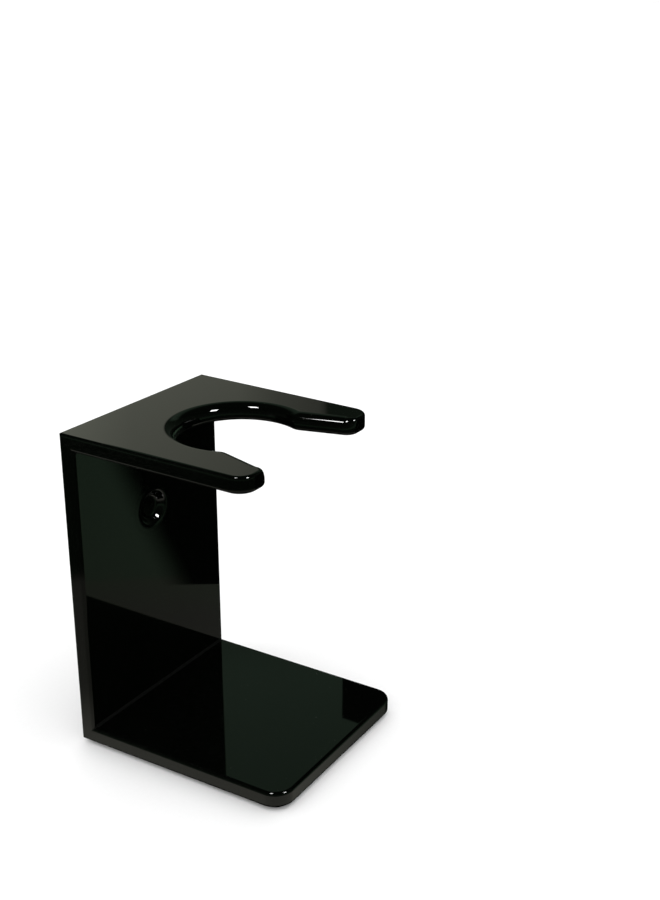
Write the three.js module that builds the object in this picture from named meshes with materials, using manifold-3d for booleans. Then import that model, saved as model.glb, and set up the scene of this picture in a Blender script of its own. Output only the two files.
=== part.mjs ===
// A gloss black stand for a razor or a shaving brush: a base, a back and a top plate in the shape
// of a C, bonded along mitred edges, with a keyhole slot in the top that is open to the front.
// Millimetres, +Z up. The origin is on the surface the stand rests on, at the middle of its box.
// +X is to the right, the front of the stand faces -Y and the back plate stands at +Y.

import * as THREE from 'three';
import { mergeVertices } from 'three/addons/utils/BufferGeometryUtils.js';
import Module from 'manifold-3d';

// ---- driving dimensions ----------------------------------------------------------------------

const WIDTH = 62;               // all three plates, side to side
const PLATE = 5;                // thickness of every plate
const STAND_HEIGHT = 98;        // underside of the base to the top face
const BASE_DEPTH = 72;          // rear face to the front edge of the base
const TOP_DEPTH = 62;           // rear face to the tips of the two arms
const EDGE_ROUND = 1;           // radius worked on every outside edge
const BASE_CORNER = 6;          // front corners of the base, seen from above
const TIP_CORNER = 5;           // outer corners of the arm tips, seen from above
const TIP_INNER_CORNER = 4;     // corners between the arm tips and the slot

const SLOT_CENTRE = 37.3;       // rear face to the centre of the slot's round seat
const SLOT_RADIUS = 17.5;       // wall of the round seat
const LIP_ROUND = 3.3;          // large rounding on the slot's top edge
const NOSE_ROUND = 4.5;         // radius of the nose on each side of the neck
const NOSE_ANGLE = 21.5;        // degrees forward of sideways at which a nose meets the seat
const MOUTH_ANGLE = 16;         // degrees by which the mouth opens from the neck to the tips

const DISH_RADIUS = 5.3;        // rim of the round dish in the front of the back plate
const DISH_SINK = 1.7;          // its depth; the wall slopes at 45 degrees to a flat floor
const DISH_HEIGHT = 65;         // its centre above the underside of the base

const FILLET = 0.8;             // bead of cement in each inner corner
const PAD_RADIUS = 5;           // non-slip pads under the base
const PAD_THICK = 1;
const PAD_INSET = 9;            // pad centre to the sides and to the ends of the base

// ---- places that follow from them ------------------------------------------------------------

const HALF = WIDTH / 2;
const REAR_Y = BASE_DEPTH / 2;
const BASE_FRONT_Y = -BASE_DEPTH / 2;
const TIP_Y = REAR_Y - TOP_DEPTH;
const BACK_FRONT_Y = REAR_Y - PLATE;
const BASE_Z = PAD_THICK;
const TOP_Z = BASE_Z + STAND_HEIGHT;
const rad = THREE.MathUtils.degToRad;

// ---- materials -------------------------------------------------------------------------------

const glossBlack = () => new THREE.MeshStandardMaterial({ color: 0x08090a, roughness: 0.08, metalness: 0 });
const cement = () => new THREE.MeshStandardMaterial({ color: 0x101112, roughness: 0.12, metalness: 0 });
const padRubber = () => new THREE.MeshStandardMaterial({ color: 0x1b1b1c, roughness: 0.75, metalness: 0 });

// ---- rounded edges ---------------------------------------------------------------------------

// How far an edge rounded to the given radius has drawn in, at this distance from its face.
const roundInset = (distance, radius) => {
  if (distance >= radius) return 0;
  return radius - Math.sqrt(radius ** 2 - (radius - distance) ** 2);
};

// The inset of a plate's plain edges: both faces have the same small rounding.
const edgeInset = (depth) => roundInset(Math.min(depth, PLATE - depth), EDGE_ROUND);

// The distance from the outside corner of the stand to a mitred end, at this depth in the plate.
// The mitre runs at 45 degrees, and the very corner of the stand is rounded.
const MITRE_START = EDGE_ROUND * (1 - Math.SQRT1_2);
const mitreInset = (depth) => (depth < MITRE_START ? roundInset(depth, EDGE_ROUND) : depth);

// Depths below the outer face at which a plate is sliced, close together where an edge is round.
const quarterSteps = (radius, steps) => {
  const depths = [];
  for (let i = 0; i <= steps; i++) depths.push(radius * (1 - Math.cos((i / steps) * Math.PI / 2)));
  return depths;
};
const plateDepths = (outerSteps) => {
  const inner = quarterSteps(EDGE_ROUND, 4).map((d) => PLATE - d);
  const all = [...outerSteps, MITRE_START, ...inner].sort((a, b) => a - b);
  return all.filter((d, i) => i === 0 || d - all[i - 1] > 0.02);
};

// ---- solids lofted through outlines ----------------------------------------------------------

// A closed solid through a stack of outlines with equal numbers of points, the first one lowest.
// The outlines run counter-clockwise seen from above; place() turns a point and its height into
// the stand's own frame and must keep right-handed axes.
const loft = (outlines, heights, place) => {
  const count = outlines[0].length;
  const positions = [];
  outlines.forEach((outline, level) => {
    outline.forEach((point) => positions.push(...place(point.x, point.y, heights[level])));
  });
  const index = [];
  for (let level = 0; level + 1 < outlines.length; level++) {
    for (let i = 0; i < count; i++) {
      const a = level * count + i;
      const b = level * count + ((i + 1) % count);
      index.push(a, b, b + count, a, b + count, a + count);
    }
  }
  const top = (outlines.length - 1) * count;
  THREE.ShapeUtils.triangulateShape(outlines[0], []).forEach(([a, b, c]) => index.push(c, b, a));
  THREE.ShapeUtils.triangulateShape(outlines.at(-1), []).forEach(([a, b, c]) => {
    index.push(top + a, top + b, top + c);
  });
  const geometry = new THREE.BufferGeometry();
  geometry.setAttribute('position', new THREE.Float32BufferAttribute(positions, 3));
  geometry.setIndex(index);
  geometry.computeVertexNormals();
  return geometry;
};

// Points on an arc about a centre, from one angle to another, in degrees. The radius may change
// evenly on the way, where two edges with different roundings meet.
const arc = (centre, startRadius, endRadius, startAngle, endAngle, steps) => {
  const points = [];
  for (let i = 0; i <= steps; i++) {
    const share = i / steps;
    const angle = rad(startAngle + (endAngle - startAngle) * share);
    const radius = startRadius + (endRadius - startRadius) * share;
    const x = centre.x + radius * Math.cos(angle);
    const y = centre.y + radius * Math.sin(angle);
    points.push(new THREE.Vector2(x, y));
  }
  return points;
};

const mirrorX = (points) => points.map((p) => new THREE.Vector2(-p.x, p.y)).reverse();

// ---- base plate ------------------------------------------------------------------------------

const baseOutline = (depth) => {
  const inset = edgeInset(depth);
  const radius = BASE_CORNER - inset;
  const centre = new THREE.Vector2(HALF - BASE_CORNER, BASE_FRONT_Y + BASE_CORNER);
  const rearCorner = new THREE.Vector2(HALF - inset, REAR_Y - mitreInset(depth));
  const right = [...arc(centre, radius, radius, -90, 0, 8), rearCorner];
  return [...right, ...mirrorX(right)];
};

// The base is sliced from its underside, its outer face, upwards.
const basePlate = () => {
  const depths = plateDepths(quarterSteps(EDGE_ROUND, 4));
  return loft(depths.map(baseOutline), depths, (x, y, depth) => [x, y, BASE_Z + depth]);
};

// ---- top plate with the keyhole slot ---------------------------------------------------------

// The right-hand wall of the slot, from the arm's tip to the back of the round seat, drawn in
// towards the plate by lip, while the tip is drawn in by inset.
const slotWall = (inset, lip) => {
  const seat = new THREE.Vector2(0, REAR_Y - SLOT_CENTRE);

  // The nose is a circle that touches the seat's circle from outside.
  const reach = SLOT_RADIUS + NOSE_ROUND;
  const noseX = reach * Math.cos(rad(NOSE_ANGLE));
  const noseY = seat.y - reach * Math.sin(rad(NOSE_ANGLE));
  const nose = new THREE.Vector2(noseX, noseY);

  // The mouth's straight wall leaves the nose and runs to the tip's inner corner, whose centre
  // is one corner radius in from that wall and from the tip.
  const mouth = rad(MOUTH_ANGLE);
  const tipY = TIP_Y + TIP_INNER_CORNER;
  const shift = (NOSE_ROUND - TIP_INNER_CORNER) / Math.cos(mouth);
  const tipX = noseX + (noseY - tipY) * Math.tan(mouth) - shift;
  const tip = new THREE.Vector2(tipX, tipY);

  const tipRadius = TIP_INNER_CORNER - inset;
  const wallRadius = TIP_INNER_CORNER - lip;
  const noseRadius = NOSE_ROUND - lip;
  const seatRadius = SLOT_RADIUS + lip;
  const mouthFacing = 180 + MOUTH_ANGLE;
  const seatFacing = 180 - NOSE_ANGLE;
  return [
    ...arc(tip, tipRadius, wallRadius, 270, mouthFacing, 6),
    ...arc(nose, noseRadius, noseRadius, mouthFacing, seatFacing, 6),
    ...arc(seat, seatRadius, seatRadius, -NOSE_ANGLE, 90, 24),
  ];
};

const topOutline = (depth) => {
  const inset = edgeInset(depth);
  const lip = depth < PLATE - EDGE_ROUND ? roundInset(depth, LIP_ROUND) : inset;
  const radius = TIP_CORNER - inset;
  const centre = new THREE.Vector2(HALF - TIP_CORNER, TIP_Y + TIP_CORNER);
  const rearCorner = new THREE.Vector2(HALF - inset, REAR_Y - mitreInset(depth));
  const wall = slotWall(inset, lip).reverse().slice(1);
  const right = [...wall, ...arc(centre, radius, radius, -90, 0, 6), rearCorner];
  const seatBack = new THREE.Vector2(0, REAR_Y - SLOT_CENTRE + SLOT_RADIUS + lip);
  return [seatBack, ...right, ...mirrorX(right)];
};

// The top is sliced from its upper, outer face downwards, so its outlines are stacked in reverse.
const topPlate = () => {
  const depths = plateDepths([...quarterSteps(EDGE_ROUND, 3), ...quarterSteps(LIP_ROUND, 6)]).reverse();
  return loft(depths.map(topOutline), depths, (x, y, depth) => [x, y, TOP_Z - depth]);
};

// ---- back plate with the round dish ----------------------------------------------------------

const wasm = await Module();
wasm.setup();

const toManifold = (geometry) => {
  const bare = geometry.clone();
  bare.deleteAttribute('normal');
  bare.deleteAttribute('uv');
  const merged = mergeVertices(bare);
  const vertProperties = new Float32Array(merged.attributes.position.array);
  const triVerts = new Uint32Array(merged.index.array);
  return new wasm.Manifold(new wasm.Mesh({ numProp: 3, vertProperties, triVerts }));
};

const toGeometry = (solid) => {
  const mesh = solid.getMesh();
  const geometry = new THREE.BufferGeometry();
  geometry.setAttribute('position', new THREE.Float32BufferAttribute(mesh.vertProperties, 3));
  geometry.setIndex([...mesh.triVerts]);
  geometry.computeVertexNormals();
  return geometry;
};

// The back stands between the mitres of the base and the top: a rectangle whose ends draw in
// with the depth. Its outlines are drawn in X and Z and stacked from the rear face forwards.
const backOutline = (depth) => {
  const x = HALF - edgeInset(depth);
  const low = BASE_Z + mitreInset(depth);
  const high = TOP_Z - mitreInset(depth);
  return [[-x, low], [x, low], [x, high], [-x, high]].map(([px, pz]) => new THREE.Vector2(px, pz));
};

// A blunt cone that cuts the dish: the flat floor, the sloping wall, and a little in front of it.
const dishCutter = () => {
  const proud = 0.5;
  const profile = [
    [0, 0],
    [DISH_RADIUS - DISH_SINK, 0],
    [DISH_RADIUS + proud, DISH_SINK + proud],
    [0, DISH_SINK + proud],
  ];
  const cutter = new THREE.LatheGeometry(profile.map(([r, y]) => new THREE.Vector2(r, y)), 48);
  cutter.rotateX(Math.PI);
  return cutter;
};

const backPlate = () => {
  const depths = plateDepths(quarterSteps(EDGE_ROUND, 4));
  const slab = loft(depths.map(backOutline), depths, (x, z, depth) => [x, REAR_Y - depth, z]);
  const cutter = dishCutter();
  cutter.translate(0, BACK_FRONT_Y + DISH_SINK, BASE_Z + DISH_HEIGHT);
  return toGeometry(toManifold(slab).subtract(toManifold(cutter)));
};

// ---- cement fillets and foot pads ------------------------------------------------------------

// A bead with a hollow face, extruded across the stand between the rounded side edges. up is 1
// for the bead on the base and -1 for the one under the top plate.
const cementFillet = (cornerZ, up) => {
  const bead = new THREE.Shape();
  bead.moveTo(0, 0);
  bead.lineTo(0, up * FILLET);
  bead.absarc(-FILLET, up * FILLET, FILLET, 0, -up * Math.PI / 2, up > 0);
  bead.closePath();
  const length = WIDTH - 2 * EDGE_ROUND;
  const geometry = new THREE.ExtrudeGeometry(bead, { depth: length, bevelEnabled: false, curveSegments: 6 });
  const drawnY = new THREE.Vector3(0, 1, 0);
  const drawnZ = new THREE.Vector3(0, 0, 1);
  const along = new THREE.Vector3(1, 0, 0);
  geometry.applyMatrix4(new THREE.Matrix4().makeBasis(drawnY, drawnZ, along));
  geometry.translate(-length / 2, BACK_FRONT_Y, cornerZ);
  return geometry;
};

const footPad = () => {
  const pad = new THREE.CylinderGeometry(PAD_RADIUS, PAD_RADIUS, PAD_THICK, 32);
  pad.rotateX(Math.PI / 2);
  return pad;
};

// ---- the stand -------------------------------------------------------------------------------

const group = new THREE.Group();

const add = (name, geometry, material) => {
  const mesh = new THREE.Mesh(geometry, material);
  mesh.name = name;
  group.add(mesh);
  return mesh;
};

add('base_plate', basePlate(), glossBlack());
add('back_plate', backPlate(), glossBlack());
add('top_plate', topPlate(), glossBlack());
add('base_cement_fillet', cementFillet(BASE_Z + PLATE, 1), cement());
add('top_cement_fillet', cementFillet(TOP_Z - PLATE, -1), cement());

for (const [side, x] of [['left', -(HALF - PAD_INSET)], ['right', HALF - PAD_INSET]]) {
  for (const [end, y] of [['front', BASE_FRONT_Y + PAD_INSET], ['rear', REAR_Y - PAD_INSET]]) {
    const pad = add(`foot_pad_${end}_${side}`, footPad(), padRubber());
    pad.position.set(x, y, PAD_THICK / 2);
  }
}

export default group;
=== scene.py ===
# %% [markdown]
# # A gloss black razor stand
#
# The stand is a letter C seen from the side: a base, a back and a top plate, all of one
# thickness, bonded along mitred edges. A razor or a brush hangs in the keyhole slot of the top.
# There is almost nothing to hide behind on a part like this. It is flat, black and polished, so
# what the eye reads is its outline, the way its edges are rounded, and what it mirrors.
#
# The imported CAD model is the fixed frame. Everything below is in metres, in that same frame:
# +Z is up, the open front of the slot faces -Y and the back plate stands at +Y.

# %% Load the frame
import math

import bmesh
import bpy
from mathutils import Matrix, Vector


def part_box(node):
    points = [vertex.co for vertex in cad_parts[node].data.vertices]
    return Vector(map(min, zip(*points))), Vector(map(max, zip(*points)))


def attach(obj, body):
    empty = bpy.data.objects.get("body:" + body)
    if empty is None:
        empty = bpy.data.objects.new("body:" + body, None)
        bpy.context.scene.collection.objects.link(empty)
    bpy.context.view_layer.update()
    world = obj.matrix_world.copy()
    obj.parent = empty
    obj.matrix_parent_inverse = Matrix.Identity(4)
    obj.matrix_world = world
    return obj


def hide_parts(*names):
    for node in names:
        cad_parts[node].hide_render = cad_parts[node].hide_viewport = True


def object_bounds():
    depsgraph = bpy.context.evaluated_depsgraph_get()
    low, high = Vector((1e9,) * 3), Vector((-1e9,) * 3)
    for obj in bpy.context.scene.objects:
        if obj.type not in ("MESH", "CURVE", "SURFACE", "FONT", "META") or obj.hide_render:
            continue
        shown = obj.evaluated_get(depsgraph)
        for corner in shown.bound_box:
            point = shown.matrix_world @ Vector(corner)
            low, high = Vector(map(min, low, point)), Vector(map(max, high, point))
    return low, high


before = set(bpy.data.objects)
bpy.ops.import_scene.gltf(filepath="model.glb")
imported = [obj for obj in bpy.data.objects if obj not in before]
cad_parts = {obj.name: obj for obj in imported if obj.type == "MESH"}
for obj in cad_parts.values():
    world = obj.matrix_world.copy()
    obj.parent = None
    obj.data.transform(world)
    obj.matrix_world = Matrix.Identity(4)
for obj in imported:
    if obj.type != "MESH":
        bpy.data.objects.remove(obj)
cad_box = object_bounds()
print("CAD nodes:", ", ".join(sorted(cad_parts)))

# %% [markdown]
# ## Sizes
#
# The outer sizes are read from the frame, so the finished plates can't drift away from the
# CAD ones. Only what can't be read from a box is written here: the roundings, the shape of the
# slot and the place of the dish. They are the sizes that the stand was designed with.

# %% Sizes read from the frame
MM = 0.001
LOW, HIGH = Vector(cad_box[0]), Vector(cad_box[1])
HALF = HIGH.x
REAR_Y = HIGH.y
BASE_FRONT_Y = LOW.y
TIP_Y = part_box("top_plate")[0].y
BASE_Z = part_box("base_plate")[0].z
TOP_Z = HIGH.z
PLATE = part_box("base_plate")[1].z - BASE_Z
BACK_FRONT_Y = REAR_Y - PLATE
print(f"stand {2 * HALF / MM:.1f} wide, {(REAR_Y - BASE_FRONT_Y) / MM:.1f} deep,"
      f" {(TOP_Z - LOW.z) / MM:.1f} mm high, plates {PLATE / MM:.1f} mm")

# %% Sizes of the roundings, the slot and the dish
EDGE_ROUND = 1.0 * MM
BASE_CORNER = 6.0 * MM
TIP_CORNER = 5.0 * MM
TIP_INNER_CORNER = 4.0 * MM

SLOT_CENTRE = 37.3 * MM
SLOT_RADIUS = 17.5 * MM
LIP_ROUND = 3.3 * MM
NOSE_ROUND = 4.5 * MM
NOSE_ANGLE = 21.5
MOUTH_ANGLE = 16.0

DISH_RADIUS = 5.3 * MM
DISH_SINK = 1.7 * MM
DISH_WALL = 1.6 * MM
DISH_SOFTNESS = 0.35 * MM
DISH_Z = BASE_Z + 65.0 * MM
FILLET = 0.8 * MM

# %% [markdown]
# ## Rounded plates, one ring at a time
#
# A plate like this can be made by extruding its outline and adding a Bevel modifier. That is
# quick, but two different roundings have to meet on this one: a small one all round, and a
# large one on the slot's lip, where the handle slides in. So each plate is skinned instead.
# The outline is drawn again at many depths in the plate, drawn in a little more each time it
# comes near a face, and neighbouring rings are joined with four-sided faces. Every ring has the
# same number of points, so the skin is regular and the reflections in it run without a kink.


# %% How far an edge has drawn in
def round_inset(distance, radius):
    """The inset of a quarter-round edge at this distance from the face that it runs into."""
    if distance >= radius:
        return 0.0
    return radius - math.sqrt(radius ** 2 - (radius - distance) ** 2)


def edge_inset(depth):
    """The inset of a plain edge, which has the same small rounding at both faces."""
    return round_inset(min(depth, PLATE - depth), EDGE_ROUND)


MITRE_START = EDGE_ROUND * (1 - math.sqrt(0.5))


def mitre_inset(depth):
    """The inset of a mitred end: the rounded outer corner first, then the 45 degree cut."""
    return round_inset(depth, EDGE_ROUND) if depth < MITRE_START else depth


# %% The depths at which a plate is sliced
EDGE_STEPS = 8
LIP_STEPS = 14
THINNEST_SLICE = 0.008 * MM


def quarter_steps(radius, steps):
    """Depths that cut a quarter round into equal turns."""
    return [radius * (1 - math.cos(i / steps * math.pi / 2)) for i in range(steps + 1)]


def plate_depths(outer):
    """Slices for a whole plate, from its outer face to its inner one."""
    inner = [PLATE - d for d in quarter_steps(EDGE_ROUND, EDGE_STEPS)]
    depths = []
    for depth in sorted([*outer, MITRE_START, *inner]):
        if not depths or depth - depths[-1] > THINNEST_SLICE:
            depths.append(depth)
    return depths


print("slices through a plain plate:", len(plate_depths(quarter_steps(EDGE_ROUND, EDGE_STEPS))))


# %% Arcs and mirrored halves
def arc(centre, radii, angles, steps):
    """Points about a centre, between two angles in degrees. The radius may change on the way."""
    points = []
    for i in range(steps + 1):
        share = i / steps
        angle = math.radians(angles[0] + (angles[1] - angles[0]) * share)
        radius = radii[0] + (radii[1] - radii[0]) * share
        points.append(centre + radius * Vector((math.cos(angle), math.sin(angle))))
    return points


def mirrored(points):
    """The same points on the other side of the stand, in the order that closes the outline."""
    return [Vector((-p.x, p.y)) for p in reversed(points)]


# %% Skinning a stack of rings
def skin(name, rings):
    """A closed, smooth-shaded mesh object through rings of equally many points."""
    bm = bmesh.new()
    loops = [[bm.verts.new(point) for point in ring] for ring in rings]
    for lower, upper in zip(loops, loops[1:]):
        for i, vertex in enumerate(lower):
            j = (i + 1) % len(lower)
            bm.faces.new((vertex, lower[j], upper[j], upper[i]))
    bm.faces.new(reversed(loops[0]))
    bm.faces.new(loops[-1])
    return finished(name, bm)


SHARP_ANGLE = math.radians(32)


def finished(name, bm):
    """Turns a bmesh into an object: faces out, sharp corners marked, and flats kept flat."""
    bmesh.ops.recalc_face_normals(bm, faces=bm.faces)
    for face in bm.faces:
        face.smooth = True
    for edge in bm.edges:
        edge.smooth = len(edge.link_faces) == 2 and edge.calc_face_angle() < SHARP_ANGLE
    mesh = bpy.data.meshes.new(name)
    bm.to_mesh(mesh)
    bm.free()
    piece = bpy.data.objects.new(name, mesh)
    bpy.context.scene.collection.objects.link(piece)
    weighted = piece.modifiers.new("flat faces stay flat", "WEIGHTED_NORMAL")
    weighted.keep_sharp = True
    weighted.weight = 80
    print(f"{name}: {len(mesh.polygons)} faces")
    return piece


def stands_for(piece, node):
    """Puts a finished piece in the place of its CAD node."""
    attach(piece, "root")
    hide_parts(node)
    return piece


# %% [markdown]
# ## Base plate
#
# The base is a plain board with two rounded front corners. Its rear end is cut at 45 degrees to
# meet the back plate. The mitre is why the outside corner of the stand shows no joint: the two
# plates touch on a plane that starts exactly at the corner.


# %% Base plate
def base_ring(depth):
    inset = edge_inset(depth)
    radius = BASE_CORNER - inset
    centre = Vector((HALF - BASE_CORNER, BASE_FRONT_Y + BASE_CORNER))
    right = arc(centre, (radius, radius), (-90, 0), 24)
    right.append(Vector((HALF - inset, REAR_Y - mitre_inset(depth))))
    return [Vector((p.x, p.y, BASE_Z + depth)) for p in right + mirrored(right)]


plain_depths = plate_depths(quarter_steps(EDGE_ROUND, EDGE_STEPS))
base_plate = skin("base_plate_polished", [base_ring(depth) for depth in plain_depths])
stands_for(base_plate, "base_plate")

# %% [markdown]
# ## Top plate and its slot
#
# The slot is a round seat with a narrower neck and a mouth that opens again towards the front,
# so a handle slides in easily and then stays put. The neck is drawn as two round noses that
# touch the seat's circle from outside. A nose that is a true arc, and not a sharp corner, lets
# the large lip run round it without pinching.


# %% The slot's wall on one side
def slot_wall(inset, lip):
    """From the arm's tip to the back of the seat; lip and inset draw the edges in."""
    seat = Vector((0, REAR_Y - SLOT_CENTRE))
    turn = math.radians(NOSE_ANGLE)
    mouth = math.radians(MOUTH_ANGLE)
    nose = seat + (SLOT_RADIUS + NOSE_ROUND) * Vector((math.cos(turn), -math.sin(turn)))
    tip_y = TIP_Y + TIP_INNER_CORNER
    shift = (NOSE_ROUND - TIP_INNER_CORNER) / math.cos(mouth)
    tip = Vector((nose.x + (nose.y - tip_y) * math.tan(mouth) - shift, tip_y))

    facing_mouth = 180 + MOUTH_ANGLE
    tip_radii = (TIP_INNER_CORNER - inset, TIP_INNER_CORNER - lip)
    nose_radii = (NOSE_ROUND - lip, NOSE_ROUND - lip)
    seat_radii = (SLOT_RADIUS + lip, SLOT_RADIUS + lip)
    wall = arc(tip, tip_radii, (270, facing_mouth), 18)
    wall += arc(nose, nose_radii, (facing_mouth, 180 - NOSE_ANGLE), 14)
    wall += arc(seat, seat_radii, (-NOSE_ANGLE, 90), 64)[1:]
    return wall


# %% Top plate
def top_ring(depth):
    inset = edge_inset(depth)
    lip = round_inset(depth, LIP_ROUND) if depth < PLATE - EDGE_ROUND else inset
    wall = slot_wall(inset, lip)
    seat_back = wall.pop()
    centre = Vector((HALF - TIP_CORNER, TIP_Y + TIP_CORNER))
    radius = TIP_CORNER - inset
    right = wall[::-1] + arc(centre, (radius, radius), (-90, 0), 18)
    right.append(Vector((HALF - inset, REAR_Y - mitre_inset(depth))))
    outline = [seat_back] + right + mirrored(right)
    return [Vector((p.x, p.y, TOP_Z - depth)) for p in outline]


lip_depths = quarter_steps(EDGE_ROUND, EDGE_STEPS) + quarter_steps(LIP_ROUND, LIP_STEPS)
top_plate = skin("top_plate_polished", [top_ring(depth) for depth in plate_depths(lip_depths)])
stands_for(top_plate, "top_plate")

# %% [markdown]
# ## Back plate with its dish
#
# The back is a plain board too, but a round dish under two millimetres deep is sunk into its
# front, with a few faint rings around it, as where hot plastic once ran in. The dish and its
# rings are plainly seen in a mirror finish, because they bend every reflection. So they are
# real geometry: the rings that skin the plate carry on across its front face and close in on the
# dish, and each of them is pushed in or out by one short profile.


# %% The outline of the back at one depth
def back_ring(depth, spacing=2.0 * MM):
    """A rectangle with points all along its sides, so that a round dish can grow out of it."""
    x = HALF - edge_inset(depth)
    low = BASE_Z + mitre_inset(depth)
    high = TOP_Z - mitre_inset(depth)
    corners = [Vector((x, low)), Vector((x, high)), Vector((-x, high)), Vector((-x, low))]
    ring = []
    for i, start in enumerate(corners):
        end = corners[(i + 1) % 4]
        full = 2 * HALF if i % 2 else TOP_Z - BASE_Z
        count = round(full / spacing)
        ring += [start.lerp(end, k / count) for k in range(count)]
    return [Vector((p.x, REAR_Y - depth, p.y)) for p in ring]


# %% The profile of the dish
RIPPLE_HEIGHT = 0.012 * MM
RIPPLE_PITCH = 1.9 * MM
RIPPLE_FADE = 2.6 * MM
RIPPLE_REACH = 13.0 * MM


def soft_step(value, softness):
    """Rises like max(value, 0), but turns the corner within about this softness."""
    return 0.5 * (value + math.sqrt(value ** 2 + softness ** 2))


def dish_height(radius):
    """How far the front face stands proud (+) or sunk (-) at this distance from the centre."""
    inwards = DISH_RADIUS - radius
    run = soft_step(inwards, DISH_SOFTNESS) - soft_step(inwards - DISH_WALL, DISH_SOFTNESS)
    sunk = run * DISH_SINK / DISH_WALL
    beyond = max(radius - DISH_RADIUS, 0.0)
    fade = math.exp(-beyond / RIPPLE_FADE) * (1 - beyond / (RIPPLE_REACH - DISH_RADIUS)) ** 2
    return -sunk - RIPPLE_HEIGHT * fade * math.sin(2 * math.pi * beyond / RIPPLE_PITCH)


# %% Back plate
RIM_OUTSIDE = DISH_RADIUS + 1.0 * MM
RIM_INSIDE = DISH_RADIUS - 2.4 * MM


def dish_rings(outer):
    """Rings on the front face, from the ripples' reach in to the middle of the dish."""
    centre = Vector((0, BACK_FRONT_Y, DISH_Z))
    directions = [Vector((p.x, 0, p.z - DISH_Z)).normalized() for p in outer]
    coarse = [RIPPLE_REACH + (RIM_OUTSIDE - RIPPLE_REACH) * i / 26 for i in range(26)]
    fine = [RIM_OUTSIDE + (RIM_INSIDE - RIM_OUTSIDE) * i / 34 for i in range(34)]
    middle = [RIM_INSIDE * (1 - i / 10) for i in range(10)]
    rings = []
    for radius in coarse + fine + middle:
        push = Vector((0, -dish_height(radius), 0))
        rings.append([centre + direction * radius + push for direction in directions])
    return rings


back_rings = [back_ring(depth) for depth in plain_depths]
back_plate = skin("back_plate_polished", back_rings + dish_rings(back_rings[-1]))
stands_for(back_plate, "back_plate")

# %% [markdown]
# ## Cement beads
#
# Where two plates meet inside, the cement is squeezed out and wiped with a rounded stick. What
# stays is a thin bead with a hollow face. Its ends stop at the rounded side edges, and it is
# never quite even, so its size swells and shrinks a little along the joint.

# %% Cement beads
BEAD_STEPS = 10
BEAD_RINGS = 90


def bead_ring(x, corner_z, up, size):
    """The bead's section at one place along the joint: two straight sides and a hollow arc."""
    points = [Vector((x, BACK_FRONT_Y, corner_z))]
    for i in range(BEAD_STEPS + 1):
        angle = i / BEAD_STEPS * math.pi / 2
        y = BACK_FRONT_Y - size * (1 - math.sin(angle))
        z = corner_z + up * size * (1 - math.cos(angle))
        points.append(Vector((x, y, z)))
    return points


def cement_bead(name, corner_z, up):
    length = 2 * (HALF - EDGE_ROUND)
    rings = []
    for i in range(BEAD_RINGS + 1):
        share = i / BEAD_RINGS
        x = -length / 2 + length * share
        swell = 0.93 + 0.045 * math.sin(17 * share + 2 * up) + 0.025 * math.sin(41 * share)
        rings.append(bead_ring(x, corner_z, up, FILLET * swell))
    return skin(name, rings)


base_bead = cement_bead("base_cement_bead", BASE_Z + PLATE, 1)
top_bead = cement_bead("top_cement_bead", TOP_Z - PLATE, -1)
stands_for(base_bead, "base_cement_fillet")
stands_for(top_bead, "top_cement_fillet")

# %% [markdown]
# ## Foot pads
#
# Four thin rubber pads keep the stand from sliding and its gloss off the shelf. Each is a disc
# punched from sheet: its upper edge is crisp where it is stuck on, and its lower edge is
# rounded by wear. A few rings of a turned profile are enough.

# %% Foot pads
PAD_SIDES = 72
PAD_WEAR_STEPS = 6


def pad_ring(centre, radius, z):
    points = []
    for i in range(PAD_SIDES):
        turn = 2 * math.pi * i / PAD_SIDES
        offset = Vector((math.cos(turn), math.sin(turn), 0)) * radius
        points.append(Vector((centre.x, centre.y, z)) + offset)
    return points


def foot_pad(node):
    low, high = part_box(node)
    centre = (low + high) / 2
    radius = (high.x - low.x) / 2
    wear = 0.35 * (high.z - low.z)
    rings = []
    for i in range(PAD_WEAR_STEPS + 1):
        turn = i / PAD_WEAR_STEPS * math.pi / 2
        worn_radius = radius - wear * (1 - math.sin(turn))
        rings.append(pad_ring(centre, worn_radius, low.z + wear * (1 - math.cos(turn))))
    rings.append(pad_ring(centre, radius, high.z - 0.1 * wear))
    rings.append(pad_ring(centre, radius - 0.1 * wear, high.z))
    return skin(node + "_pad", rings)


pads = []
for node in sorted(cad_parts):
    if node.startswith("foot_pad"):
        pads.append(stands_for(foot_pad(node), node))

# %% [markdown]
# ## Effects shared by the materials
#
# A polished black surface is only as real as its faults. Each fault is a node group, built once
# with named inputs and outputs, and each material places the ones it needs with its own values:
#
# - **waviness** - plates are never optically flat, so reflections lean a little
# - **hairlines** - fine scratches from wiping with a cloth
# - **smudges** - soft patches where fingers dulled the gloss
# - **dust** - specks that settle on faces that look up
# - **edge wear** - rounded edges, rubbed a little duller and greyer than the faces


# %% A helper that starts a node group
def new_group(name, inputs, outputs):
    """A shader node group with float inputs {name: default} and float outputs [name]."""
    group = bpy.data.node_groups.new(name, "ShaderNodeTree")
    for socket_name, default in inputs.items():
        socket = group.interface.new_socket(socket_name, in_out="INPUT", socket_type="NodeSocketFloat")
        socket.default_value = default
    for socket_name in outputs:
        group.interface.new_socket(socket_name, in_out="OUTPUT", socket_type="NodeSocketFloat")
    start = group.nodes.new("NodeGroupInput")
    end = group.nodes.new("NodeGroupOutput")
    return group, start, end


def add_math(tree, operation, *values, clamp=False):
    """A Math node whose inputs are sockets or plain numbers; returns its output."""
    node = tree.nodes.new("ShaderNodeMath")
    node.operation = operation
    node.use_clamp = clamp
    for socket, value in zip(node.inputs, values):
        if isinstance(value, (int, float)):
            socket.default_value = value
        else:
            tree.links.new(value, socket)
    return node.outputs[0]


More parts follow.
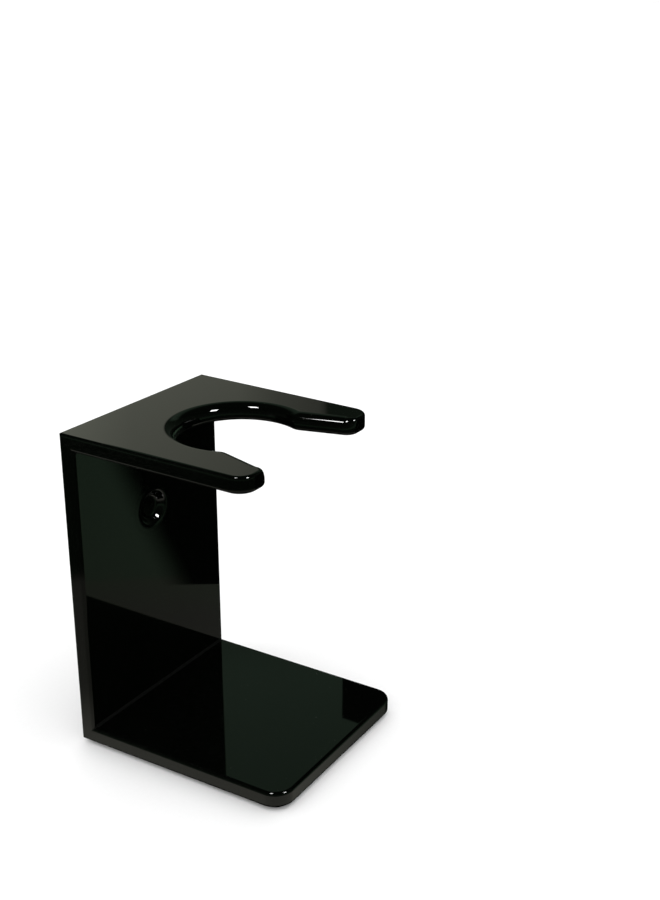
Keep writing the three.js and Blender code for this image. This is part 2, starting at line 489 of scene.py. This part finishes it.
def add_ramp(tree, value, low, high):
    """Stretches the range low..high of a value to 0..1, with soft ends."""
    node = tree.nodes.new("ShaderNodeMapRange")
    node.interpolation_type = "SMOOTHSTEP"
    tree.links.new(value, node.inputs["Value"])
    node.inputs["From Min"].default_value = low
    node.inputs["From Max"].default_value = high
    return node.outputs["Result"]


def add_noise(tree, scale, detail=2.0, roughness=0.5, stretch=(1, 1, 1), turn=(0, 0, 0)):
    """Noise in the piece's own coordinates, which are metres; scale may be a socket."""
    place = tree.nodes.new("ShaderNodeTexCoord")
    mapping = tree.nodes.new("ShaderNodeMapping")
    mapping.inputs["Scale"].default_value = stretch
    mapping.inputs["Rotation"].default_value = [math.radians(angle) for angle in turn]
    noise = tree.nodes.new("ShaderNodeTexNoise")
    noise.inputs["Detail"].default_value = detail
    noise.inputs["Roughness"].default_value = roughness
    tree.links.new(place.outputs["Object"], mapping.inputs["Vector"])
    tree.links.new(mapping.outputs["Vector"], noise.inputs["Vector"])
    if isinstance(scale, (int, float)):
        noise.inputs["Scale"].default_value = scale
    else:
        tree.links.new(scale, noise.inputs["Scale"])
    return noise.outputs["Fac"]


# %% Waviness
def build_waviness():
    group, start, end = new_group("waviness", {"Waves per metre": 22.0, "Height": 1.0}, ["Height"])
    slow = add_noise(group, start.outputs["Waves per metre"], detail=1.0)
    centred = add_math(group, "SUBTRACT", slow, 0.5)
    group.links.new(add_math(group, "MULTIPLY", centred, start.outputs["Height"]), end.inputs["Height"])
    return group


waviness = build_waviness()


# %% Hairlines
def build_hairlines():
    """Long thin scratches in three directions, broken up so that none runs all the way."""
    group, start, end = new_group("hairlines", {"Amount": 0.5}, ["Mask", "Height"])
    total = None
    for turn in ((10, 20, 35), (-25, 40, -50), (60, -15, 80)):
        threads = add_noise(group, 260.0, detail=0.0, stretch=(1, 26, 1), turn=turn)
        offset = add_math(group, "ABSOLUTE", add_math(group, "SUBTRACT", threads, 0.5))
        line = add_math(group, "SUBTRACT", 1.0, add_ramp(group, offset, 0.0, 0.012))
        patches = add_noise(group, 55.0, detail=1.0, turn=turn)
        line = add_math(group, "MULTIPLY", line, add_ramp(group, patches, 0.56, 0.72))
        total = line if total is None else add_math(group, "MAXIMUM", total, line)
    mask = add_math(group, "MULTIPLY", total, start.outputs["Amount"], clamp=True)
    group.links.new(mask, end.inputs["Mask"])
    group.links.new(add_math(group, "MULTIPLY", mask, -1.0), end.inputs["Height"])
    return group


hairlines = build_hairlines()


# %% Smudges
def build_smudges():
    group, start, end = new_group("smudges", {"Amount": 0.5, "Patches per metre": 38.0}, ["Mask"])
    cloud = add_noise(group, start.outputs["Patches per metre"], detail=4.0, roughness=0.6)
    patches = add_ramp(group, cloud, 0.5, 0.74)
    streaks = add_noise(group, 520.0, detail=3.0, stretch=(1, 0.35, 0.35), turn=(15, 30, 20))
    dabs = add_math(group, "MULTIPLY", patches, add_ramp(group, streaks, 0.3, 0.75))
    group.links.new(add_math(group, "MULTIPLY", dabs, start.outputs["Amount"]), end.inputs["Mask"])
    return group


smudges = build_smudges()


# %% Dust
def build_dust():
    """Sparse specks of two sizes, only where the surface looks up."""
    group, start, end = new_group("dust", {"Amount": 0.5}, ["Mask"])
    place = group.nodes.new("ShaderNodeTexCoord")
    specks = None
    for per_metre, size in ((420.0, 0.055), (1100.0, 0.07)):
        cells = group.nodes.new("ShaderNodeTexVoronoi")
        cells.inputs["Scale"].default_value = per_metre
        group.links.new(place.outputs["Object"], cells.inputs["Vector"])
        away = add_ramp(group, cells.outputs["Distance"], size * 0.4, size)
        speck = add_math(group, "SUBTRACT", 1.0, away)
        chosen = group.nodes.new("ShaderNodeSeparateColor")
        group.links.new(cells.outputs["Color"], chosen.inputs["Color"])
        speck = add_math(group, "MULTIPLY", speck, add_ramp(group, chosen.outputs["Red"], 0.72, 0.8))
        specks = speck if specks is None else add_math(group, "MAXIMUM", specks, speck)
    normal = group.nodes.new("ShaderNodeNewGeometry")
    parts = group.nodes.new("ShaderNodeSeparateXYZ")
    group.links.new(normal.outputs["Normal"], parts.inputs["Vector"])
    upward = add_ramp(group, parts.outputs["Z"], 0.55, 0.95)
    settled = add_math(group, "MULTIPLY", specks, upward)
    group.links.new(add_math(group, "MULTIPLY", settled, start.outputs["Amount"]), end.inputs["Mask"])
    return group


dust = build_dust()


# %% Edge wear
def build_edge_wear():
    """A mask on rounded edges, from how sharply the mesh turns, broken up by fine noise."""
    group, start, end = new_group("edge wear", {"Amount": 0.5}, ["Mask"])
    shape = group.nodes.new("ShaderNodeNewGeometry")
    edges = add_ramp(group, shape.outputs["Pointiness"], 0.505, 0.56)
    rubbed = add_ramp(group, add_noise(group, 900.0, detail=4.0, roughness=0.65), 0.42, 0.7)
    worn = add_math(group, "MULTIPLY", edges, rubbed)
    group.links.new(add_math(group, "MULTIPLY", worn, start.outputs["Amount"]), end.inputs["Mask"])
    return group


edge_wear = build_edge_wear()
print("shared effects:", ", ".join(sorted(group.name for group in bpy.data.node_groups)))


# %% [markdown]
# ## Materials
#
# The plates are cast acrylic or a similar clear-polished plastic, dyed black all the way
# through. Almost no light comes back from inside, so the base colour is nearly zero, and the
# whole look is a sharp reflection that grows stronger at grazing angles, which the Principled
# shader works out from its IOR. Roughness is where the faults act.


# %% Helpers for materials
def new_material(name):
    """A material with an empty Principled shader in it."""
    material = bpy.data.materials.new(name)
    material.use_nodes = True
    tree = material.node_tree
    shader = tree.nodes["Principled BSDF"]
    return material, tree, shader


def place_group(tree, group, **values):
    """Puts a shared effect into a material, with this material's own values."""
    node = tree.nodes.new("ShaderNodeGroup")
    node.node_tree = group
    for socket_name, value in values.items():
        node.inputs[socket_name.replace("_", " ")].default_value = value
    return node


def mix_colour(tree, mask, first, second):
    """Blends two colours, given as sockets or as red, green and blue numbers, by a mask."""
    node = tree.nodes.new("ShaderNodeMix")
    node.data_type = "RGBA"
    tree.links.new(mask, node.inputs["Factor"])
    for socket, colour in ((node.inputs["A"], first), (node.inputs["B"], second)):
        if isinstance(colour, tuple):
            socket.default_value = (*colour, 1.0)
        else:
            tree.links.new(colour, socket)
    return node.outputs["Result"]


def bump(tree, height, distance, under=None):
    """A Bump node for a height in metres-sized steps, on top of another normal."""
    node = tree.nodes.new("ShaderNodeBump")
    node.inputs["Distance"].default_value = distance
    tree.links.new(height, node.inputs["Height"])
    if under is not None:
        tree.links.new(under, node.inputs["Normal"])
    return node.outputs["Normal"]


# %% Polished black
def polished_black():
    material, tree, shader = new_material("polished black plastic")
    shader.inputs["IOR"].default_value = 1.49
    smudge = place_group(tree, smudges, Amount=0.55).outputs["Mask"]
    scratch = place_group(tree, hairlines, Amount=0.5)
    speck = place_group(tree, dust, Amount=0.35).outputs["Mask"]
    wear = place_group(tree, edge_wear, Amount=0.5).outputs["Mask"]

    colour = mix_colour(tree, wear, (0.0004, 0.0006, 0.0004), (0.003, 0.003, 0.0028))
    colour = mix_colour(tree, speck, colour, (0.22, 0.22, 0.2))
    tree.links.new(colour, shader.inputs["Base Color"])

    duller = add_math(tree, "MULTIPLY_ADD", smudge, 0.06, 0.035)
    duller = add_math(tree, "MULTIPLY_ADD", scratch.outputs["Mask"], 0.12, duller)
    duller = add_math(tree, "MULTIPLY_ADD", wear, 0.06, duller)
    duller = add_math(tree, "MULTIPLY_ADD", speck, 0.5, duller, clamp=True)
    tree.links.new(duller, shader.inputs["Roughness"])

    waves = place_group(tree, waviness, Waves_per_metre=24.0)
    normal = bump(tree, waves.outputs["Height"], 0.06 * MM)
    normal = bump(tree, scratch.outputs["Height"], 0.002 * MM, normal)
    tree.links.new(normal, shader.inputs["Normal"])
    return material


plate_material = polished_black()
for plate in (base_plate, back_plate, top_plate):
    plate.data.materials.append(plate_material)


# %% Cured cement
def cured_cement():
    """As black as the plates, but it was never polished, so it is softer and uneven."""
    material, tree, shader = new_material("cured black cement")
    shader.inputs["IOR"].default_value = 1.49
    shader.inputs["Specular IOR Level"].default_value = 0.2
    smudge = place_group(tree, smudges, Amount=0.8, Patches_per_metre=160.0).outputs["Mask"]
    speck = place_group(tree, dust, Amount=0.5).outputs["Mask"]
    colour = mix_colour(tree, speck, (0.0015, 0.0018, 0.0015), (0.2, 0.2, 0.18))
    tree.links.new(colour, shader.inputs["Base Color"])
    tree.links.new(add_math(tree, "MULTIPLY_ADD", smudge, 0.2, 0.3), shader.inputs["Roughness"])
    waves = place_group(tree, waviness, Waves_per_metre=380.0)
    tree.links.new(bump(tree, waves.outputs["Height"], 0.08 * MM), shader.inputs["Normal"])
    return material


cement_material = cured_cement()
for bead in (base_bead, top_bead):
    bead.data.materials.append(cement_material)


# %% Pad rubber
def pad_rubber():
    """Dense black sheet rubber with a fine leathery grain."""
    material, tree, shader = new_material("pad rubber")
    grain = add_noise(tree, 2600.0, detail=3.0, roughness=0.6)
    speck = place_group(tree, dust, Amount=0.6).outputs["Mask"]
    mottled = mix_colour(tree, grain, (0.012, 0.012, 0.012), (0.028, 0.028, 0.027))
    tree.links.new(mix_colour(tree, speck, mottled, (0.2, 0.2, 0.19)), shader.inputs["Base Color"])
    tree.links.new(add_math(tree, "MULTIPLY_ADD", grain, 0.2, 0.6), shader.inputs["Roughness"])
    tree.links.new(bump(tree, grain, 0.05 * MM), shader.inputs["Normal"])
    return material


rubber_material = pad_rubber()
for pad in pads:
    pad.data.materials.append(rubber_material)

# %% [markdown]
# ## Floor
#
# A plain pale floor carries the soft shadow. Polished black mirrors everything, and a white
# floor in that mirror would wash the plates out, so the floor is hidden from glossy rays, as a
# photographer keeps a table dark just out of the picture. What the plates mirror is set by the
# surroundings further down.


# %% Floor
FLOOR_HALF_WIDTH = 6.0


def pale_floor():
    floor = bpy.data.objects.new("floor", bpy.data.meshes.new("floor"))
    bpy.context.scene.collection.objects.link(floor)
    bm = bmesh.new()
    bmesh.ops.create_grid(bm, x_segments=1, y_segments=1, size=FLOOR_HALF_WIDTH)
    bm.to_mesh(floor.data)
    bm.free()
    material, tree, shader = new_material("pale floor")
    shader.inputs["Roughness"].default_value = 0.9
    shader.inputs["Specular IOR Level"].default_value = 0.1
    fibre = add_noise(tree, 900.0, detail=3.0)
    colour = mix_colour(tree, fibre, (0.81, 0.81, 0.81), (0.84, 0.84, 0.84))
    tree.links.new(colour, shader.inputs["Base Color"])
    floor.data.materials.append(material)
    floor.visible_glossy = False
    return floor


pale_floor()

# %% [markdown]
# ## Surroundings
#
# A mirror-black object is lit by what it mirrors, so the world is a studio painted for
# glossy rays. Each part of it is a slope: how far a direction leans toward one axis, stretched
# to 0..1. Products of slopes make soft patches, laid over each other in this order:
#
# - the **room** is a slightly green wall that is lightest a little below the horizon
# - below the horizon it is **unlit** to the left, behind and straight ahead, so that the side
#   faces, the silhouettes and the rounded tips stay black, as they do in a dark room
# - **overhead** is unlit too, which keeps the slot's large lip black up to its edge
# - the **table** is a pale surface low on the near side, mirrored by the lowest edge bands
# - the **rear glow** is a pale wall behind the stand, which turns the top face grey. It ends at
#   an upright edge on the right, so the far arm's tip is black again.
#
# Camera rays see white and diffuse rays an even white light that leaves almost no shadow.

# %% Colours of the room
# Each list gives (the sine of the height above the horizon, colour or brightness).
ROOM = [
    (-1.00, (0.015, 0.02, 0.015)),
    (-0.60, (0.03, 0.035, 0.03)),
    (-0.52, (0.10, 0.11, 0.09)),
    (-0.44, (0.12, 0.18, 0.12)),
    (-0.30, (0.13, 0.23, 0.145)),
    (0.05, (0.03, 0.04, 0.03)),
    (0.44, (0.02, 0.03, 0.02)),
    (0.52, (0.11, 0.17, 0.12)),
    (1.00, (0.05, 0.07, 0.05)),
]
TABLE = [
    (-1.000, 0.00),
    (-0.720, 0.00),
    (-0.660, 0.45),
    (-0.545, 0.42),
    (-0.520, 0.15),
    (-0.452, 0.14),
    (-0.446, 0.00),
]
TABLE_TINT = (1.0, 1.0, 0.86)
BLACK = (0.0, 0.0, 0.0)
UNLIT = (0.01, 0.015, 0.01)
UNLIT_LEFT = (0.012, 0.02, 0.012)
UNLIT_BEHIND = (0.01, 0.013, 0.01)

# The glow is given from the right edge of its wall (0) toward the left and rear (1).
GLOW = [
    (0.000, 0.00),
    (0.006, 0.15),
    (0.040, 0.21),
    (0.070, 0.33),
    (0.150, 0.40),
    (0.200, 0.57),
    (0.500, 0.57),
    (0.700, 0.00),
]
GLOW_TINT = (0.96, 1.0, 0.82)
DIFFUSE_LIGHT = 1.45


# %% Helpers for painting with directions
def toward(tree, view, direction, low, high):
    """0..1 as a view direction leans more and more toward a fixed direction."""
    dot = tree.nodes.new("ShaderNodeVectorMath")
    dot.operation = "DOT_PRODUCT"
    tree.links.new(view, dot.inputs[0])
    dot.inputs[1].default_value = Vector(direction).normalized()
    return add_ramp(tree, dot.outputs["Value"], low, high)


def colour_steps(tree, value, stops):
    """A colour ramp through the given (position, colour) stops."""
    ramp = tree.nodes.new("ShaderNodeValToRGB")
    elements = ramp.color_ramp.elements
    while len(elements) < len(stops):
        elements.new(0.5)
    for element, (position, colour) in zip(elements, stops):
        element.position = position
        element.color = (*colour, 1.0)
    tree.links.new(value, ramp.inputs["Fac"])
    return ramp.outputs["Color"]


def grey_steps(tree, value, stops):
    """The same for greys, given as (position, brightness) stops."""
    return colour_steps(tree, value, [(place, (level, level, level)) for place, level in stops])


def rise_to_ramp(stops):
    """Moves stops given by a sine, -1..1, to the 0..1 of a colour ramp."""
    return [((rise + 1) / 2, look) for rise, look in stops]


def lighter(tree, first, second, mask):
    """Keeps the lighter of two colours where the mask is 1, and the first where it is 0."""
    node = tree.nodes.new("ShaderNodeMix")
    node.data_type = "RGBA"
    node.blend_type = "LIGHTEN"
    tree.links.new(mask, node.inputs["Factor"])
    tree.links.new(first, node.inputs["A"])
    tree.links.new(second, node.inputs["B"])
    return node.outputs["Result"]


# %% The parts that get no light
UP = (0, 0, 1)
DOWN = (0, 0, -1)


def unlit_parts(tree, view, room):
    """The room with its dark parts laid over it, one after another."""
    below = toward(tree, view, DOWN, 0.20, 0.30)
    above_table = toward(tree, view, UP, -0.46, -0.44)
    left = add_math(tree, "MULTIPLY", toward(tree, view, (-1, 0, 0), -0.1, 0.1), above_table)
    behind = toward(tree, view, (0.8, 0.6, 0), 0.33, 0.45)
    ahead = toward(tree, view, (-0.7314, -0.6820, 0), -0.03, 0.10)
    for mask, colour in ((left, UNLIT_LEFT), (behind, UNLIT_BEHIND), (ahead, UNLIT)):
        room = mix_colour(tree, add_math(tree, "MULTIPLY", mask, below), room, colour)
    near_side = toward(tree, view, (-0.75, -0.66, 0), -0.7, -0.5)
    overhead = add_math(tree, "MULTIPLY", near_side, toward(tree, view, UP, 0.35, 0.5))
    return mix_colour(tree, overhead, room, UNLIT)


# %% The glow behind the stand
RIGHT_EDGE = (-0.5417, 0.8406, 0)
REAR_RIGHT = (0.8406, 0.5417, 0)


def rear_glow(tree, view, room):
    """The room with the pale rear wall in it."""
    across = tree.nodes.new("ShaderNodeVectorMath")
    across.operation = "DOT_PRODUCT"
    tree.links.new(view, across.inputs[0])
    across.inputs[1].default_value = RIGHT_EDGE
    glow = grey_steps(tree, across.outputs["Value"], GLOW)
    band = add_math(tree, "MULTIPLY", toward(tree, view, UP, 0.05, 0.15),
                    toward(tree, view, DOWN, -0.50, -0.44))
    wall = add_math(tree, "MULTIPLY", toward(tree, view, RIGHT_EDGE, 0.0, 0.004),
                    toward(tree, view, REAR_RIGHT, 0.0, 0.1))
    tinted = mix_colour(tree, glow, BLACK, GLOW_TINT)
    return mix_colour(tree, add_math(tree, "MULTIPLY", band, wall), room, tinted)


# %% The painted room
def room_colour(tree, view):
    parts = tree.nodes.new("ShaderNodeSeparateXYZ")
    tree.links.new(view, parts.inputs["Vector"])
    height = add_math(tree, "MULTIPLY_ADD", parts.outputs["Z"], 0.5, 0.5)
    room = unlit_parts(tree, view, colour_steps(tree, height, rise_to_ramp(ROOM)))
    table = mix_colour(tree, grey_steps(tree, height, rise_to_ramp(TABLE)), BLACK, TABLE_TINT)
    near_side = toward(tree, view, (-0.75, -0.66, 0), -0.32, -0.16)
    return rear_glow(tree, view, lighter(tree, room, table, near_side))


# %% World
def studio_world():
    world = bpy.data.worlds.new("studio")
    bpy.context.scene.world = world
    world.use_nodes = True
    tree = world.node_tree
    view = tree.nodes.new("ShaderNodeTexCoord").outputs["Generated"]
    ray = tree.nodes.new("ShaderNodeLightPath")
    even = (DIFFUSE_LIGHT, DIFFUSE_LIGHT, DIFFUSE_LIGHT)
    glossy = mix_colour(tree, ray.outputs["Is Glossy Ray"], even, room_colour(tree, view))
    seen = mix_colour(tree, ray.outputs["Is Camera Ray"], glossy, (1.0, 1.0, 1.0))
    tree.links.new(seen, tree.nodes["Background"].inputs["Color"])


studio_world()

# %% [markdown]
# ## Dark cards that paint reflections
#
# Three black cards stand just to the right of the stand and paint dark reflections into the
# plates. Only glossy rays see them: the camera doesn't, and they cast no shadow. The low one
# paints the right half of the back plate deep black, with a soft slanting edge, and a small
# dark patch in the far corner of the base. The far one paints the part of the back that is seen
# through the slot darker, and the high one is mirrored by the fronts of the arms.

# %% Dark cards that paint reflections
# Corners are (Y, Z); each card stands upright at one X.
LOW_CARD = [(0.008, 0.003), (0.008, 0.052), (-0.072, 0.052), (-0.041, -0.011)]
FAR_CARD = [(-0.037, 0.000), (-0.037, 0.070), (-0.078, 0.070), (-0.078, 0.000)]
HIGH_CARD = [
    (-0.010, 0.050), (-0.016, 0.110), (-0.150, 0.110),
    (-0.150, 0.020), (-0.078, 0.030), (-0.074, 0.050),
]
CARD_SLANT = 0.6
CARD_FADE = (-0.034, -0.012)


# A black card that only glossy rays see: it paints a dark reflection into the plates.
def painted_reflection_card(name, x, corners, fades=False):
    mesh = bpy.data.meshes.new(name)
    mesh.from_pydata([(x, y, z) for y, z in corners], [], [range(len(corners))])
    card = bpy.data.objects.new(name, mesh)
    bpy.context.scene.collection.objects.link(card)
    material, tree, shader = new_material(name)
    shader.inputs["Base Color"].default_value = (0.001, 0.001, 0.001, 1.0)
    shader.inputs["Roughness"].default_value = 1.0
    shader.inputs["Specular IOR Level"].default_value = 0.0
    # The low card fades out along a slanting line, which paints the soft edge of its dark reflection.
    if fades:
        place = tree.nodes.new("ShaderNodeTexCoord")
        parts = tree.nodes.new("ShaderNodeSeparateXYZ")
        tree.links.new(place.outputs["Object"], parts.inputs["Vector"])
        slant = add_math(tree, "MULTIPLY_ADD", parts.outputs["Z"], CARD_SLANT, parts.outputs["Y"])
        tree.links.new(add_ramp(tree, slant, *CARD_FADE), shader.inputs["Alpha"])
    mesh.materials.append(material)
    card.visible_camera = False
    card.visible_diffuse = False
    card.visible_shadow = False


# The three cards that paint dark reflections.
painted_reflection_card("low painted reflection card", 0.070, LOW_CARD, fades=True)
painted_reflection_card("far painted reflection card", 0.120, FAR_CARD)
painted_reflection_card("high painted reflection card", 0.070, HIGH_CARD)

# %% [markdown]
# ## Lights
#
# Two small ceiling panels make the sharp glints on the rounded edges and inside the dish: one
# in front of the stand and one above its left side. They are kept off the floor, whose light is
# the even one above.

# %% Lights
STAND_MIDDLE = Vector((0, 0, 0.5 * TOP_Z))
PANEL_DISTANCE = 1.3
PANEL_SIDE = 0.24
PANEL_RADIANCE = 40.0


def panel(name, direction):
    """A square light that faces the stand from this direction."""
    light = bpy.data.lights.new(name, "AREA")
    light.size = PANEL_SIDE
    light.energy = PANEL_RADIANCE * math.pi * PANEL_SIDE ** 2
    lamp = bpy.data.objects.new(name, light)
    away = Vector(direction).normalized()
    turn = away.to_track_quat("Z", "Y").to_matrix().to_4x4()
    lamp.matrix_world = Matrix.Translation(STAND_MIDDLE + away * PANEL_DISTANCE) @ turn
    bpy.context.scene.collection.objects.link(lamp)
    lamp.visible_camera = False
    lamp.visible_diffuse = False
    return lamp


panel("front ceiling panel", (-0.02, -0.70, 0.71))
panel("left ceiling panel", (-0.46, 0.03, 0.89))
print("lights:", len(bpy.data.lights))

# %% [markdown]
# ## Camera
#
# The camera stands to the left of the front and looks down a little. The stand sits left of
# the middle of the frame with its upright edges nearly upright, so the lens is shifted a
# little sideways, as on a view camera, and the camera itself is rolled by under three degrees.

# %% Camera
CAMERA_PLACE = Vector((-0.2741, -0.2082, 0.2276))
CAMERA_AZIMUTH = -64.35
CAMERA_ELEVATION = 21.06
CAMERA_ROLL = 2.66
CAMERA_LENS = 51.36
CAMERA_SHIFT = (-0.1667, -0.0111)


def view_camera():
    data = bpy.data.cameras.new("camera")
    data.sensor_fit = "VERTICAL"
    data.sensor_height = 36.0
    data.lens = CAMERA_LENS
    data.shift_x, data.shift_y = CAMERA_SHIFT
    data.clip_start = 0.01
    azimuth, elevation = math.radians(CAMERA_AZIMUTH), math.radians(CAMERA_ELEVATION)
    back = Vector((math.sin(azimuth) * math.cos(elevation), -math.cos(azimuth) * math.cos(elevation),
                   math.sin(elevation)))
    right = Vector((0, 0, 1)).cross(back).normalized()
    up = back.cross(right)
    turn = Matrix((right, up, back)).transposed().to_4x4()
    camera = bpy.data.objects.new("camera", data)
    camera.matrix_world = (Matrix.Translation(CAMERA_PLACE) @ turn
                           @ Matrix.Rotation(math.radians(CAMERA_ROLL), 4, "Z"))
    bpy.context.scene.collection.objects.link(camera)
    bpy.context.scene.camera = camera


view_camera()
bpy.context.scene.view_settings.view_transform = "Standard"
